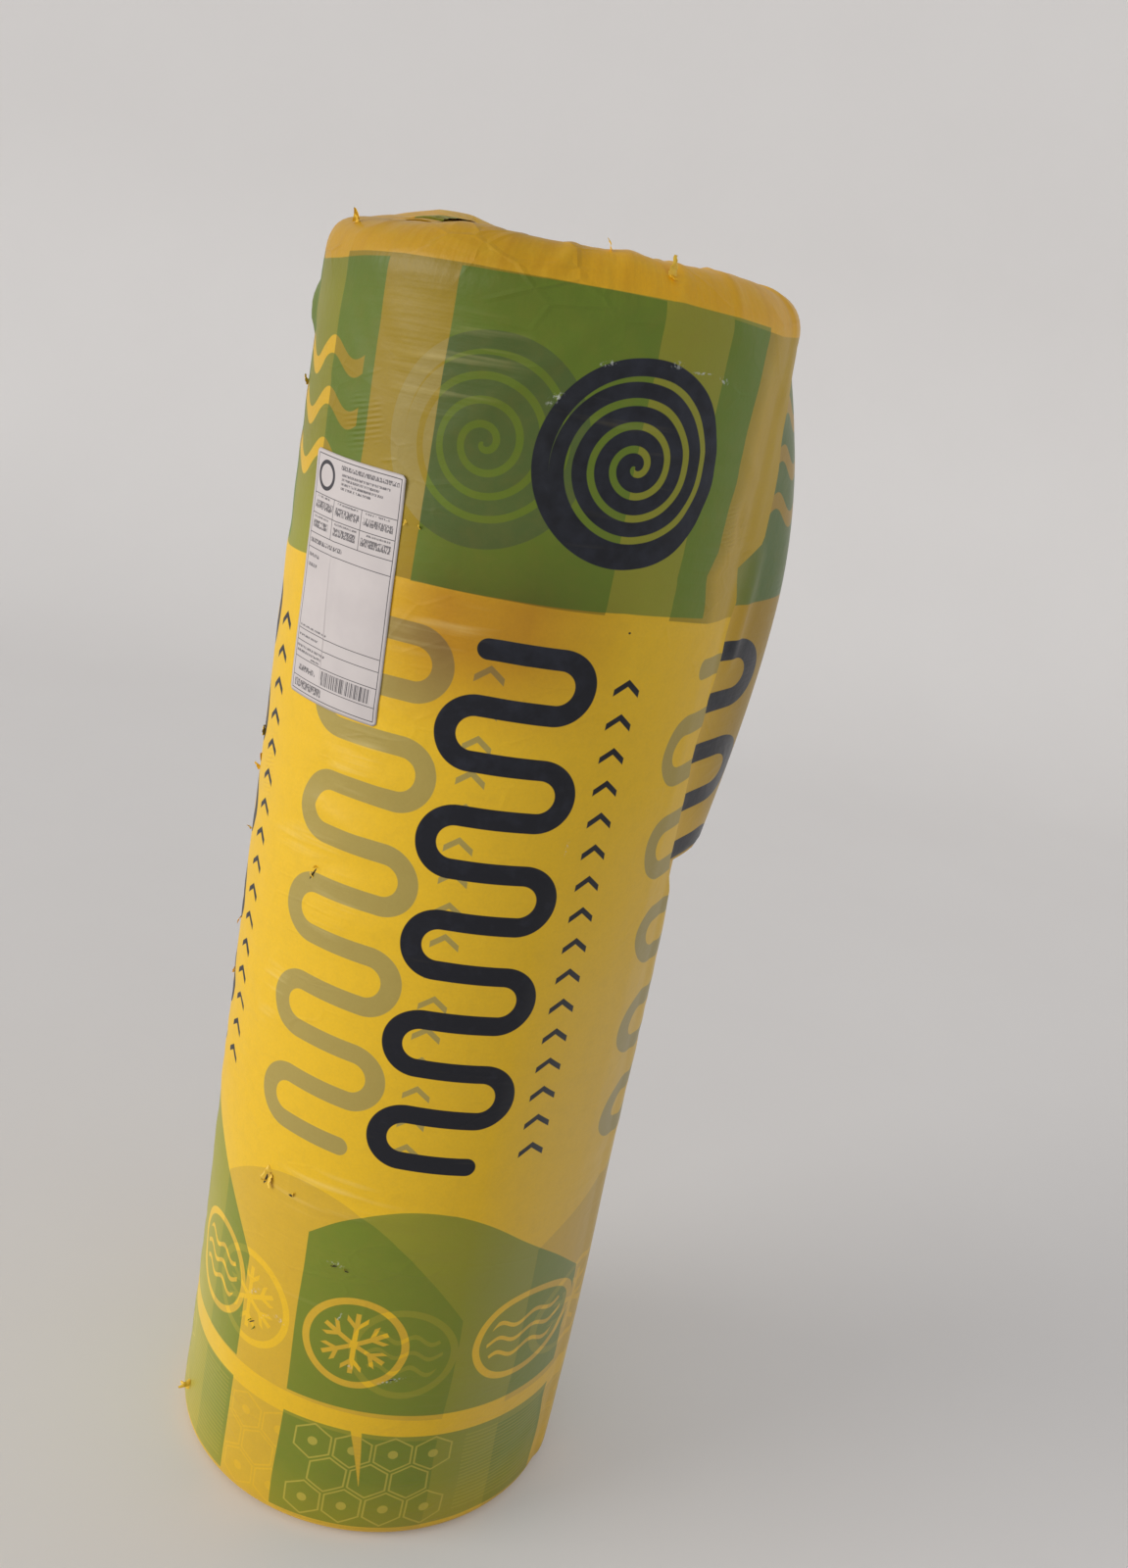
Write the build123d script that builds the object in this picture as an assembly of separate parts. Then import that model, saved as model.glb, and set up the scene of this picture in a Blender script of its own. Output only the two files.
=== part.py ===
from build123d import *
import math
import os

# A mat of glass wool, squeezed and wound into a roll that stands on its end.
# Printed film goes round it one and a half times and folds in over both ends.
# X is to the right, Y to the back, Z up along the roll. The origin is the centre of the lower end.
# Azimuths are in degrees round the roll, from the front towards the right.

# Wool mat, in millimetres
mat_width = 1200.0        # width of the mat, and so the height of the roll
mat_length = 2600.0       # length of the mat before it was wound
eye_radius = 9.0          # hollow that the first turn leaves at the centre
crease_width = 15.0       # of the crease between two turns, where it opens on the ends
crease_depth = 10.0
tail_margin = 10.0        # the last turn is pressed flat under the film for this much

# Film
roll_radius = 195.0       # over two layers of film
film_layer = 0.6          # one layer with the creases and air under it
top_rim = 34.0            # rounding of the upper edge
bottom_rim = 16.0         # rounding of the lower edge, which carries the weight
edge_flats = 3            # flats in the lower edge, which is pressed down, and in hidden edges
end_opening = 112.0       # radius of the hole that the folded film leaves on each end
film_fit = 0.2            # gap between the wool and the film
free_edge = 68.0          # azimuth of the film's outer end
start_edge = -130.0       # azimuth of the film's first edge, under the outer layer

# Loose stretch of film beside the outer end
loose_side = 140.0        # azimuth where it lies on the roll again
loose_tight = 6.0         # height over which it lies tight below the rounding of the upper edge
loose_peak_drop = 232.0   # from there down to where it stands out most
loose_tear_drop = 223.0   # from there down to its torn lower edge
loose_lift = 47.0         # how far it stands out at most
loose_tear_lift = 31.0    # how far the torn edge stands out

# Label
label_width = 105.0       # along the roll's surface
label_height = 202.0
label_corner = 3.0
label_thickness = 0.3
label_azimuth = -42.4
label_drop = 178.0        # from the roll's upper end down to its upper edge
label_turn = 1.5          # degrees, as it was stuck on

wool_radius = roll_radius - 2 * film_layer - film_fit
lap_radius = roll_radius - film_layer
turn_pitch = math.pi * (wool_radius**2 - eye_radius**2) / mat_length
loose_top = mat_width - top_rim - loose_tight
loose_peak = loose_top - loose_peak_drop
loose_bottom = loose_peak - loose_tear_drop


def on_roll(radius, azimuth, level=0.0):
    """Point at an azimuth."""
    angle = math.radians(azimuth)
    return Vector(radius * math.sin(angle), -radius * math.cos(angle), level)


def flat_rounding(across, up, radius, start):
    """Points of a quarter round in flats, from an angle in degrees on."""
    angles = [math.radians(start + 90 * i / edge_flats) for i in range(edge_flats + 1)]
    return [(across + radius * math.cos(a), up + radius * math.sin(a)) for a in angles]


def half_section(inset, seen=False):
    """Half of the roll's upright section, drawn in by inset. Its upper edge is round where it is seen."""
    side = roll_radius - inset
    top = mat_width - inset
    low = bottom_rim - inset
    high = top_rim - inset
    below = flat_rounding(side - low, inset + low, low, -90)
    above = flat_rounding(side - high, top - high, high, 0)
    if not seen:
        return make_face(Polyline((0, inset), *below, *above, (0, top), close=True))
    edge = CenterArc((side - high, top - high), high, 0, 90)
    rest = Polyline(above[-1], (0, top), (0, inset), *below, above[0])
    return make_face([edge, rest])


def turned(face, start=0.0, sweep=360.0):
    """Solid of revolution about Z, from an azimuth over a sweep."""
    return Rot(0, 0, start - 90.0) * revolve(Plane.XZ * face, Axis.Z, sweep)


def end_crease(level, up):
    """Crease between the turns on one end: half rings about two centres, each wider than the last."""
    reach = crease_width / 2
    outward = 1 if up else -1
    wedge = [(0, -crease_depth), (reach, 0), (reach, crease_depth), (-reach, crease_depth), (-reach, 0)]
    trough = make_face(Polyline(*[(x, outward * y) for x, y in wedge], close=True))
    crease = None
    radius = eye_radius + turn_pitch / 4
    side = 1
    while radius + turn_pitch / 4 + reach < wool_radius - tail_margin:
        half_turn = revolve(Plane.XZ * (Pos(radius, 0) * trough), Axis.Z, 180)
        start = 180 if side > 0 else 0
        placed = Pos(side * turn_pitch / 4, 0, level) * Rot(0, 0, start) * half_turn
        crease = placed if crease is None else crease + placed
        radius += turn_pitch / 2
        side = -side
    return crease


def wool_mat():
    """The wound mat. Its ends fill the openings in the film, and show its turns."""
    upright = (Align.CENTER, Align.CENTER, Align.MIN)
    body = turned(half_section(roll_radius - wool_radius))
    in_openings = Cylinder(end_opening - film_fit, mat_width, align=upright)
    eye = Cylinder(eye_radius, mat_width, align=upright)
    return body + in_openings - eye - end_crease(mat_width, True) - end_crease(0, False)


def loose_lift_at(level):
    """How far the loose film stands out from the roll at a height."""
    if level > loose_peak:
        share = (level - loose_peak) / (loose_top - loose_peak)
        return loose_lift * (1 - share**2)
    share = (loose_peak - level) / (loose_peak - loose_bottom)
    return loose_lift - (loose_lift - loose_tear_lift) * share**2


def loose_outline(inset, level):
    """Section of the loose film's block at a height: a swelling outside, the roll's own round inside."""
    steps = 6
    dip = 2 * film_layer
    inside = lap_radius - 10 * film_layer
    lift = loose_lift_at(level)
    swelling = []
    for i in range(steps + 1):
        share = i / steps
        rise = 16 * (share * (1 - share)) ** 2
        radius = lap_radius - inset - dip + (lift + dip) * rise
        swelling.append(on_roll(radius, free_edge + share * (loose_side - free_edge), level))
    first = on_roll(inside, free_edge, level)
    middle = on_roll(inside, (free_edge + loose_side) / 2, level)
    last = on_roll(inside, loose_side, level)
    back = ThreePointArc(last, middle, first)
    return make_face([Spline(*swelling), Line(swelling[-1], last), back, Line(first, swelling[0])])


def loose_block(inset, overrun):
    """Block whose outer side is the loose film, drawn in by inset. It runs on below the tear."""
    levels = [loose_bottom - overrun, (loose_bottom + loose_peak) / 2, loose_peak]
    levels += [loose_peak + (loose_top - loose_peak) * share for share in (0.4, 0.75, 1.0)]
    return loft([loose_outline(inset, level) for level in levels])


def wrap_film():
    """Film in one piece: the first turn, the lap over it, and the loose stretch with its torn edge."""
    opening = Rectangle(2 * end_opening, 2 * mat_width)
    first_turn = half_section(film_layer, seen=True) - half_section(2 * film_layer) - opening
    lap = half_section(0, seen=True) - half_section(film_layer, seen=True) - opening
    upright = (Align.CENTER, Align.CENTER, Align.MIN)
    inside = Pos(0, 0, loose_bottom - mat_width / 2) * Cylinder(lap_radius, 2 * mat_width, align=upright)
    loose = loose_block(-film_layer, 0) - loose_block(0, film_layer) - inside
    return turned(first_turn) + turned(lap, start_edge, free_edge - start_edge) + loose


def product_label():
    """Paper label, curved with the film that it is stuck on."""
    flat_width = 2 * roll_radius * math.sin(label_width / roll_radius / 2)
    outline = RectangleRounded(flat_width, label_height, label_corner)
    facing = Plane(
        origin=(0, 0, mat_width - label_drop - label_height / 2),
        x_dir=on_roll(1, label_azimuth + 90),
        z_dir=on_roll(1, label_azimuth),
    )
    prism = extrude(facing * (Rot(0, 0, label_turn) * outline), 2 * roll_radius)
    round_wall = Cylinder(roll_radius + label_thickness, mat_width) - Cylinder(roll_radius, mat_width)
    return (Pos(0, 0, mat_width / 2) * round_wall) & prism


parts = {
    "wool_mat": wool_mat(),
    "wrap_film": wrap_film(),
    "product_label": product_label(),
}

os.makedirs("parts", exist_ok=True)
for name, shape in parts.items():
    export_step(shape, f"parts/{name}.step")
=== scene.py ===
import math
from functools import reduce

import bpy
import numpy as np
from mathutils import Matrix, Vector


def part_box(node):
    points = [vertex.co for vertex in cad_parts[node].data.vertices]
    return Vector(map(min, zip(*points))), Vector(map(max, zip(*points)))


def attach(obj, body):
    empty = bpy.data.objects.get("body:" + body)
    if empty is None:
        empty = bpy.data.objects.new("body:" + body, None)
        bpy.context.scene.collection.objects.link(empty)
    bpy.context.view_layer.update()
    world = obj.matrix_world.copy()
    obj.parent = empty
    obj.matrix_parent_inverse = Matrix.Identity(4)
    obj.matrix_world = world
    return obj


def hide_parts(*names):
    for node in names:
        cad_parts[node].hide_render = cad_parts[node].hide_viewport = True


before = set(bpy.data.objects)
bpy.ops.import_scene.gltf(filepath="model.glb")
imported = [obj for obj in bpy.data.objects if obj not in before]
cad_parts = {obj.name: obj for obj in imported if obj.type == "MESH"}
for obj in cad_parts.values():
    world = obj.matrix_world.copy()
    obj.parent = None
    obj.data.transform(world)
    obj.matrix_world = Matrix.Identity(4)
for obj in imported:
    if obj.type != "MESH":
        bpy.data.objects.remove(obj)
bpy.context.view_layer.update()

# A roll of glass wool in printed film, on its end. Metres, +Z up the roll, front towards -Y.
# Azimuths are in degrees round the roll, from the front towards the right.

roll = {
    "height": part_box("wrap_film")[1][2],
    "radius": 0.195,
    "underRadius": 0.1942,
    "topRim": 0.034,
    "baseRim": 0.016,
    "opening": 0.112,
    "eye": 0.009,
    "wool": 0.1936,
    "turnPitch": 0.0452,
}

onFilm = 2 * math.pi * roll["radius"] / 360     # length of one degree round the roll


# Node helpers

class Wire:
    # one socket of a node tree, so that sums on it add the nodes
    def __init__(self, maker, socket):
        self.maker = maker
        self.socket = socket

    def calc(self, operation, *values, clamp=False):
        settings = {"operation": operation, "use_clamp": clamp}
        return self.maker.add("ShaderNodeMath", settings, dict(enumerate(values)))[0]

    def __neg__(self):
        return self * -1.0

    def __abs__(self):
        return self.calc("ABSOLUTE", self)


def operatorFor(operation, isReflected):
    def work(wire, other):
        pair = (other, wire) if isReflected else (wire, other)
        return wire.calc(operation, *pair)
    return work


wireOperators = {
    "add": "ADD", "sub": "SUBTRACT", "mul": "MULTIPLY", "truediv": "DIVIDE",
    "pow": "POWER", "mod": "FLOORED_MODULO", "lt": "LESS_THAN", "gt": "GREATER_THAN",
}
for name, operation in wireOperators.items():
    setattr(Wire, f"__{name}__", operatorFor(operation, False))
    if name in ("add", "sub", "mul"):
        setattr(Wire, f"__r{name}__", operatorFor(operation, True))


class Maker:
    # adds nodes to one tree: settings go first, then the sockets by name or number
    def __init__(self, tree):
        self.tree = tree

    def add(self, kind, settings=None, sockets=None):
        node = self.tree.nodes.new(kind)
        for name, value in (settings or {}).items():
            if name == "stops":
                fillRamp(node.color_ramp, value)
            else:
                setattr(node, name, value)
        for name, value in (sockets or {}).items():
            if isinstance(value, Wire):
                self.tree.links.new(value.socket, node.inputs[name])
            else:
                node.inputs[name].default_value = value
        return Outlets(self, node)


class Outlets:
    def __init__(self, maker, node):
        self.maker = maker
        self.node = node

    def __getitem__(self, name):
        return Wire(self.maker, self.node.outputs[name])


def fillRamp(ramp, stops):
    while len(ramp.elements) > 1:
        ramp.elements.remove(ramp.elements[-1])
    ramp.elements[0].position = stops[0][0]
    ramp.elements[0].color = stops[0][1]
    for place, colour in stops[1:]:
        ramp.elements.new(place).color = colour


def largest(*values):
    return reduce(lambda a, b: a.calc("MAXIMUM", a, b), values)


def smallest(*values):
    return reduce(lambda a, b: a.calc("MINIMUM", a, b), values)


def wholePart(a):
    return a.calc("FLOOR", a)


def root(a):
    return a.calc("SQRT", a)


def reach(a, b):
    return root(a * a + b * b)


def clamped(a):
    return a.calc("ADD", a, 0.0, clamp=True)


def sloped(a, start, steep):            # 0 at the start, and 1 further up, or down where steep is below 0
    return a.calc("MULTIPLY", a - start, steep, clamp=True)


def inked(distance, soft=0.0007):       # 1 inside an outline, 0 outside, with a soft edge
    return distance.calc("MULTIPLY_ADD", distance, -1.0 / soft, 0.5, clamp=True)


def boxInk(x, y, halfWide, halfTall):   # like all of the inks, it is below 0 inside
    return largest(abs(x) - halfWide, abs(y) - halfTall)


def between(a, low, high):
    return abs(a - (low + high) / 2) - (high - low) / 2


def blended(share, first, second):      # colours
    sockets = {0: share, 6: first, 7: second}
    return share.maker.add("ShaderNodeMix", {"data_type": "RGBA"}, sockets)[2]


def tinted(share, colour, tint):         # the colour seen through a tint
    settings = {"data_type": "RGBA", "blend_type": "MULTIPLY"}
    return share.maker.add("ShaderNodeMix", settings, {0: share, 6: colour, 7: tint})[2]


def tone(red, green, blue):             # screen colour, 0 to 255, to a linear one
    linear = [((c / 255 + 0.055) / 1.055) ** 2.4 if c > 10 else c / 255 / 12.92 for c in (red, green, blue)]
    return (*linear, 1.0)


def newMaterial(name):
    material = bpy.data.materials.new(name)
    material.use_nodes = True
    material.node_tree.nodes.clear()
    return material, Maker(material.node_tree)


def finishMaterial(m, sockets):
    skin = m.add("ShaderNodeBsdfPrincipled", None, sockets)
    m.add("ShaderNodeOutputMaterial", None, {"Surface": skin["BSDF"]})


def noise(m, place, scale, detail, **more):
    sockets = {"Vector": place, "Scale": scale, "Detail": detail, **more}
    return m.add("ShaderNodeTexNoise", None, sockets)["Fac"]


def stretched(m, place, scale, turn=0.0):
    sockets = {"Vector": place, "Rotation": (0.0, 0.0, turn), "Scale": scale}
    return m.add("ShaderNodeMapping", None, sockets)["Vector"]


def axesOf(m, place):
    apart = m.add("ShaderNodeSeparateXYZ", None, {0: place})
    return apart["X"], apart["Y"], apart["Z"]


def bumped(m, height, strength):
    return m.add("ShaderNodeBump", None, {"Height": height, "Strength": strength, "Distance": 1.0})["Normal"]


# Smooth noise round the roll, for shapes that are worked out point by point

def roundNoise(azimuth, level, acrossDegrees, acrossLevel, seed):
    cells = max(3, round(360 / acrossDegrees))
    x = np.asarray(azimuth) / 360 * cells
    y = (np.asarray(level) + 0.3) / acrossLevel
    x, y = np.broadcast_arrays(x, y)
    rows = int(2.2 / acrossLevel) + 6
    lattice = np.random.default_rng(seed).uniform(-1, 1, (cells, rows))
    column = np.floor(x).astype(int)
    row = np.clip(np.floor(y).astype(int), 1, rows - 4)
    dx, dy = x - column, np.clip(y - row, 0, 1)

    def weights(t):
        return ((1 - t) ** 3 / 6, (3 * t**3 - 6 * t**2 + 4) / 6,
                (-3 * t**3 + 3 * t**2 + 3 * t + 1) / 6, t**3 / 6)

    total = np.zeros(x.shape)
    for i, across in enumerate(weights(dx)):
        for j, along in enumerate(weights(dy)):
            total += across * along * lattice[(column + i - 1) % cells, row + j - 1]
    return total * 1.8


def eased(value, low, high):            # 0 below low, 1 above high, smooth between
    t = np.clip((value - low) / (high - low), 0, 1)
    return t * t * (3 - 2 * t)


def beyond(value, limit):
    return np.clip(value - limit, 0, None)


def bell(value, middle, width):
    return np.exp(-((value - middle) / width) ** 2)


def azimuthOf(turn):
    return (turn + 180) % 360 - 180


def onRoll(radius, azimuth, level):
    angle = np.radians(azimuth)
    return np.stack(np.broadcast_arrays(radius * np.sin(angle), -radius * np.cos(angle), level), -1)


def meshFrom(name, points, faces, uvs=None):
    mesh = bpy.data.meshes.new(name)
    mesh.from_pydata([tuple(p) for p in points], [], faces)
    if uvs is not None:
        layer = mesh.uv_layers.new(name="flat")
        corner = np.empty(len(mesh.loops), dtype=np.int32)
        mesh.loops.foreach_get("vertex_index", corner)
        layer.data.foreach_set("uv", np.asarray(uvs, dtype=np.float32)[corner].ravel())
    mesh.shade_smooth()
    mesh.update()
    piece = bpy.data.objects.new(name, mesh)
    bpy.context.collection.objects.link(piece)
    return piece


# Camera, floor and light

view = {
    "place": (0.0, -1.3599, 1.2439),
    "turnRight": 3.391,
    "lookDown": 20.41,
    "roll": 11.32,
    "lens": 36.0,
}


def makeCamera():
    data = bpy.data.cameras.new("photoView")
    data.lens = view["lens"]
    data.sensor_width = 36.0
    data.clip_start = 0.05
    camera = bpy.data.objects.new("photoView", data)
    turn = Matrix.Rotation(math.radians(-view["turnRight"]), 4, "Z")
    tip = Matrix.Rotation(math.radians(90 - view["lookDown"]), 4, "X")
    lean = Matrix.Rotation(math.radians(view["roll"]), 4, "Z")
    camera.matrix_world = Matrix.Translation(view["place"]) @ turn @ tip @ lean
    bpy.context.collection.objects.link(camera)
    bpy.context.scene.camera = camera


stageSet = {
    "halfWidth": 6.0,
    "front": -5.0,
    "back": 2.2,
    "sweep": 1.2,
    "wallHeight": 5.0,
    "floorTone": tone(222, 219, 217),
}


def makeStage():
    steps = 16
    outline = [(stageSet["front"], 0.0)]
    back, sweep = stageSet["back"], stageSet["sweep"]
    for i in range(steps + 1):
        a = math.pi / 2 * i / steps
        outline.append((back + sweep * math.sin(a), sweep * (1 - math.cos(a))))
    outline.append((back + sweep, stageSet["wallHeight"]))
    points = [(side * stageSet["halfWidth"], y, z) for y, z in outline for side in (-1, 1)]
    faces = [(2 * i, 2 * i + 1, 2 * i + 3, 2 * i + 2) for i in range(len(outline) - 1)]
    floor = meshFrom("floor", points, faces)
    material, m = newMaterial("paleFloor")
    place = m.add("ShaderNodeTexCoord")["Object"]
    speck = noise(m, place, 3.0, 4.0)
    colour = blended(speck * 0.5, stageSet["floorTone"], tone(214, 210, 208))
    rays = m.add("ShaderNodeLightPath")
    isSeen = clamped(rays["Is Camera Ray"] + rays["Is Glossy Ray"] + rays["Is Transmission Ray"])
    lift = blended(isSeen, (0.0, 0.0, 0.0, 1.0), stageSet["floorTone"])
    finishMaterial(m, {
        "Base Color": colour, "Roughness": 0.85, "Emission Color": lift, "Emission Strength": 0.10})
    floor.data.materials.append(material)


lighting = {
    "sky": 0.66,
    "overheadDim": 0.30,
    "skyTone": (0.97, 0.98, 1.0),
    "key": 2.0,
    "keyWay": (3.7, 1.25, -0.85),
    "keyTone": (1.0, 0.985, 0.95),
    "fill": 0.18,
    "fillWay": (-2.6, -1.3, -0.3),
    "fillTone": (0.66, 0.82, 1.0),
    "softness": 36.0,                   # degrees across
}


def broadLight(name, way, strength, colour):
    data = bpy.data.lights.new(name, "SUN")
    data.energy = strength
    data.angle = math.radians(lighting["softness"])
    data.color = colour
    lamp = bpy.data.objects.new(name, data)
    lamp.rotation_euler = Vector(way).to_track_quat("-Z", "Y").to_euler()
    bpy.context.collection.objects.link(lamp)


def makeLight():
    world = bpy.data.worlds.new("paleRoom")
    world.use_nodes = True
    world.node_tree.nodes.clear()
    m = Maker(world.node_tree)
    colour = (*lighting["skyTone"], 1.0)
    way = m.add("ShaderNodeTexCoord")["Generated"]
    up = clamped(axesOf(m, way)[2])
    strength = (1.0 - up * lighting["overheadDim"]) * lighting["sky"]
    sky = m.add("ShaderNodeBackground", None, {"Color": colour, "Strength": strength})
    m.add("ShaderNodeOutputWorld", None, {"Surface": sky["Background"]})
    bpy.context.scene.world = world
    broadLight("keyLight", lighting["keyWay"], lighting["key"], lighting["keyTone"])
    broadLight("fillLight", lighting["fillWay"], lighting["fill"], lighting["fillTone"])
    bpy.context.scene.view_settings.view_transform = "Standard"


makeCamera()
makeStage()
makeLight()
print("camera, floor and light are set")


# Film: its print

printing = {
    "repeat": 0.3352,                   # length of one field of the pattern, every second one alike
    "seam": 0.142,
    "fieldMiddle": 0.058,
    "fieldHalf": 0.1361,
    "upperLow": 0.945,
    "upperHigh": 1.178,
    "disc": (0.078, 1.058, 0.079),
    "coil": 0.0172,
    "coilLine": 0.0056,
    "coilEdge": 0.066,
    "snakeAcross": 0.022,
    "snakeLow": 0.436,
    "snakeRow": 0.0468,
    "snakeRows": 10,
    "snakeLine": 0.0180,
    "snakeReach": 0.0300,
    "arrowAcross": 0.112,
    "arrowStep": 0.0290,
    "arrowHalf": 0.0120,
    "arrowSlant": 0.75,
    "arrowLine": 0.0060,
    "arrowLow": 0.436,
    "arrowHigh": 0.900,
    "lowerLow": 0.156,
    "hill": (0.030, 0.386, 4.3),
    "badges": (-0.019, 0.143),
    "badgeLevel": 0.232,
    "badgeRadius": 0.047,
    "badgeLine": 0.0072,
    "badgeInside": 0.036,
    "flakeReach": 0.034,
    "flakeLine": 0.0048,
    "twigFrom": 0.018,
    "twigReach": 0.010,
    "bandLow": 0.015,
    "bandHigh": 0.131,
    "cell": 0.0400,
    "cellLine": 0.0018,
    "cellDot": 0.0050,
    "fineStep": 0.0048,
    "fineLine": 0.0014,
}

inks = {
    "film": tone(232, 186, 34),
    "filmAtRim": tone(228, 170, 22),
    "filmOverWool": tone(220, 174, 52),
    "slackFilm": tone(166, 130, 8),
    "green": tone(102, 126, 34),
    "lowGreen": tone(118, 131, 38),
    "slackGreen": tone(78, 106, 42),
    "dark": tone(22, 23, 31),
    "ghostHigh": tone(148, 128, 18),
    "ghostLow": tone(206, 166, 48),
    "ghostDark": tone(152, 140, 84),
    # painted shade: tints that darken the film at the top and over the rim
    "highTint": (0.72, 0.70, 0.54, 1.0),
    "rimTint": (0.76, 0.82, 0.66, 1.0),
    "amberTint": (0.60, 0.46, 0.44, 1.0),
    "paleLow": tone(226, 210, 120),
    "paleLine": tone(206, 184, 76),
    "paleGreen": tone(140, 142, 42),
    "ghostOnGreen": tone(74, 96, 50),
    "nearFloor": tone(226, 180, 18),
    "mottle": tone(160, 128, 52),
    "grain": tone(120, 100, 60),
    "rimDeep": tone(204, 142, 16),
    "rimLight": tone(238, 190, 50),
    "wornDark": tone(56, 60, 74),
    "milk": tone(178, 180, 180),
    "shine": tone(246, 226, 160),
    "scuff": tone(206, 208, 202),
    "hole": tone(48, 40, 18),
    "dirt": tone(120, 110, 90),
}


def spiralInk(x, y):                    # end view of a roll, in lines on the dark disc
    away = reach(x, y)
    turn = x.calc("ARCTAN2", y, x) * (1 / (2 * math.pi))
    t = (away * (1 / printing["coil"]) - turn) % 1.0
    line = abs(t - 0.5) * printing["coil"] - printing["coilLine"] / 2
    return largest(line, away - printing["coilEdge"])


def snakeInk(s, v):                     # a mat as plans show it, to and fro up the film
    row, low, rows = printing["snakeRow"], printing["snakeLow"], printing["snakeRows"]
    straight = printing["snakeReach"]
    count = (v - low) * (1 / row)
    number = wholePart(count)
    c = (count - number - 0.5) * row
    side = (number % 2.0) * 2.0 - 1.0
    x = (s - printing["snakeAcross"]) * side
    bend = reach(largest(x - straight, 0.0), c) - row / 2
    nextBend = reach(x + straight, abs(c) - row) - row / 2
    roundEnd = reach(largest(abs(x) - straight, 0.0), abs(c) - row / 2)
    isOut = (number < -0.5) + (number > rows - 0.5)
    isEnd = (number < 0.5) * (c < 0.0) + (number > rows - 1.5) * (c > 0.0)
    near = bend * (1.0 - isOut) + roundEnd * isOut
    far = nextBend * (1.0 - isEnd) + roundEnd * isEnd
    far = nextBend * isOut + far * (1.0 - isOut)
    isFar = x < -straight
    line = abs(near * (1.0 - isFar) + far * isFar) - printing["snakeLine"] / 2
    half = row * rows / 2
    return largest(line, abs(v - low - half) - half - printing["snakeLine"] / 2)


def arrowInk(s, v):                     # a column of plain chevrons that point up
    step = printing["arrowStep"]
    x = abs(s - printing["arrowAcross"])
    low, high = printing["arrowLow"], printing["arrowHigh"]
    y = (v - low) % step - step * 0.62 + x * printing["arrowSlant"]
    return largest(abs(y) - printing["arrowLine"] / 2, x - printing["arrowHalf"], between(v, low, high))


def flakeInk(x, y):                     # six branches
    away = reach(x, y)
    sixth = math.pi / 3
    angle = x.calc("ARCTAN2", y, x) % sixth - sixth / 2
    px = away * angle.calc("COSINE", angle)
    py = abs(away * angle.calc("SINE", angle))
    spoke = largest(py - printing["flakeLine"] / 2, px - printing["flakeReach"])
    twig = largest(abs(px - py - printing["twigFrom"]) * 0.7 - 0.0020, py - printing["twigReach"])
    return smallest(spoke, twig)


def waveInk(x, y, length, height, gap, line):
    lifted = y - x.calc("SINE", x * (2 * math.pi / length)) * height
    cell = (lifted + gap / 2) % gap - gap / 2
    return largest(abs(cell) - line / 2, abs(lifted) - gap * 1.5)


def badgeInk(s, v):                     # two rings, with a flake and with waves
    y = v - printing["badgeLevel"]
    shapes = []
    for number, across in enumerate(printing["badges"]):
        x = s - across
        away = reach(x, y)
        ring = abs(away - printing["badgeRadius"]) - printing["badgeLine"] / 2
        waves = largest(waveInk(x, y, 0.032, 0.004, 0.018, 0.005), away - printing["badgeInside"])
        shapes += [ring, waves if number else flakeInk(x, y)]
    return smallest(*shapes)


def combInk(s, v):                      # cells of a comb in thin lines, with dots in every second row
    wide, line = printing["cell"], printing["cellLine"] / 2
    tall = wide * math.sqrt(3)
    shapes = []
    for shift in (0.0, 0.5):
        x = (s + 0.004 + shift * wide) % wide - wide / 2
        y = (v - 0.0385 + shift * tall) % tall - tall / 2
        cell = largest(abs(x), abs(x) * 0.5 + abs(y) * 0.8660254) - wide * 0.45
        lines = abs(cell) - line
        if shift:
            lines = smallest(lines, reach(x, y) - printing["cellDot"])
        shapes.append(largest(lines, boxInk(s - x - 0.014, v - y - 0.073, 0.075, 0.036)))
    return smallest(*shapes)


def fineLineInk(s, v):                  # a block of thin lines beside the comb
    step = printing["fineStep"]
    lines = abs((v * (1 / step)) % 1.0 - 0.5) * step - printing["fineLine"] / 2
    return largest(lines, boxInk(s - 0.148, v - 0.0735, 0.040, 0.050))


def printedLayer(u, v):
    # returns how much green, dark and pale line there is at a place on one layer of film
    p = printing
    number = wholePart((u + p["seam"]) * (1 / p["repeat"]))
    odd = number % 2.0
    s = u - number * p["repeat"]
    sides = abs(s - p["fieldMiddle"]) - p["fieldHalf"]
    upper = largest(sides, between(v, p["upperLow"], p["upperHigh"]))
    x, y = s - p["disc"][0], v - p["disc"][1]
    disc = inked(reach(x, y) - p["disc"][2]) * (1.0 - inked(spiralInk(x, y))) * (1.0 - odd)
    waves = largest(waveInk(s - 0.122, v - 1.064, 0.066, 0.009, 0.040, 0.014), abs(s - 0.122) - 0.060)
    peak, top, fall = p["hill"]
    hill = v - top + (s - peak) * (s - peak) * fall
    lower = largest(sides, hill, p["lowerLow"] - v)
    band = inked(largest(sides, between(v, p["bandLow"], p["bandHigh"])))
    collar = inked(largest(1.242 - v, abs(s + 0.051) - 0.031))
    upperGreen = inked(upper) * (1.0 - inked(waves) * odd)
    green = largest(upperGreen, inked(lower) * (1.0 - inked(badgeInk(s, v))), band, collar)
    pale = largest(inked(combInk(s, v)), inked(fineLineInk(s, v)) * 0.5) * band
    dark = largest(disc, inked(snakeInk(s, v)), inked(arrowInk(s, v)))
    return green, dark, pale


def wedgeMark(u, v):                    # ink worn off along a fold, in a wedge
    down = clamped((v - 0.064) * (1 / 0.069))
    across = abs(u - 0.0088 + down * 0.0125) - down * 0.0056
    return inked(largest(across, abs(v - 0.100) - 0.034), 0.0012)


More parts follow.
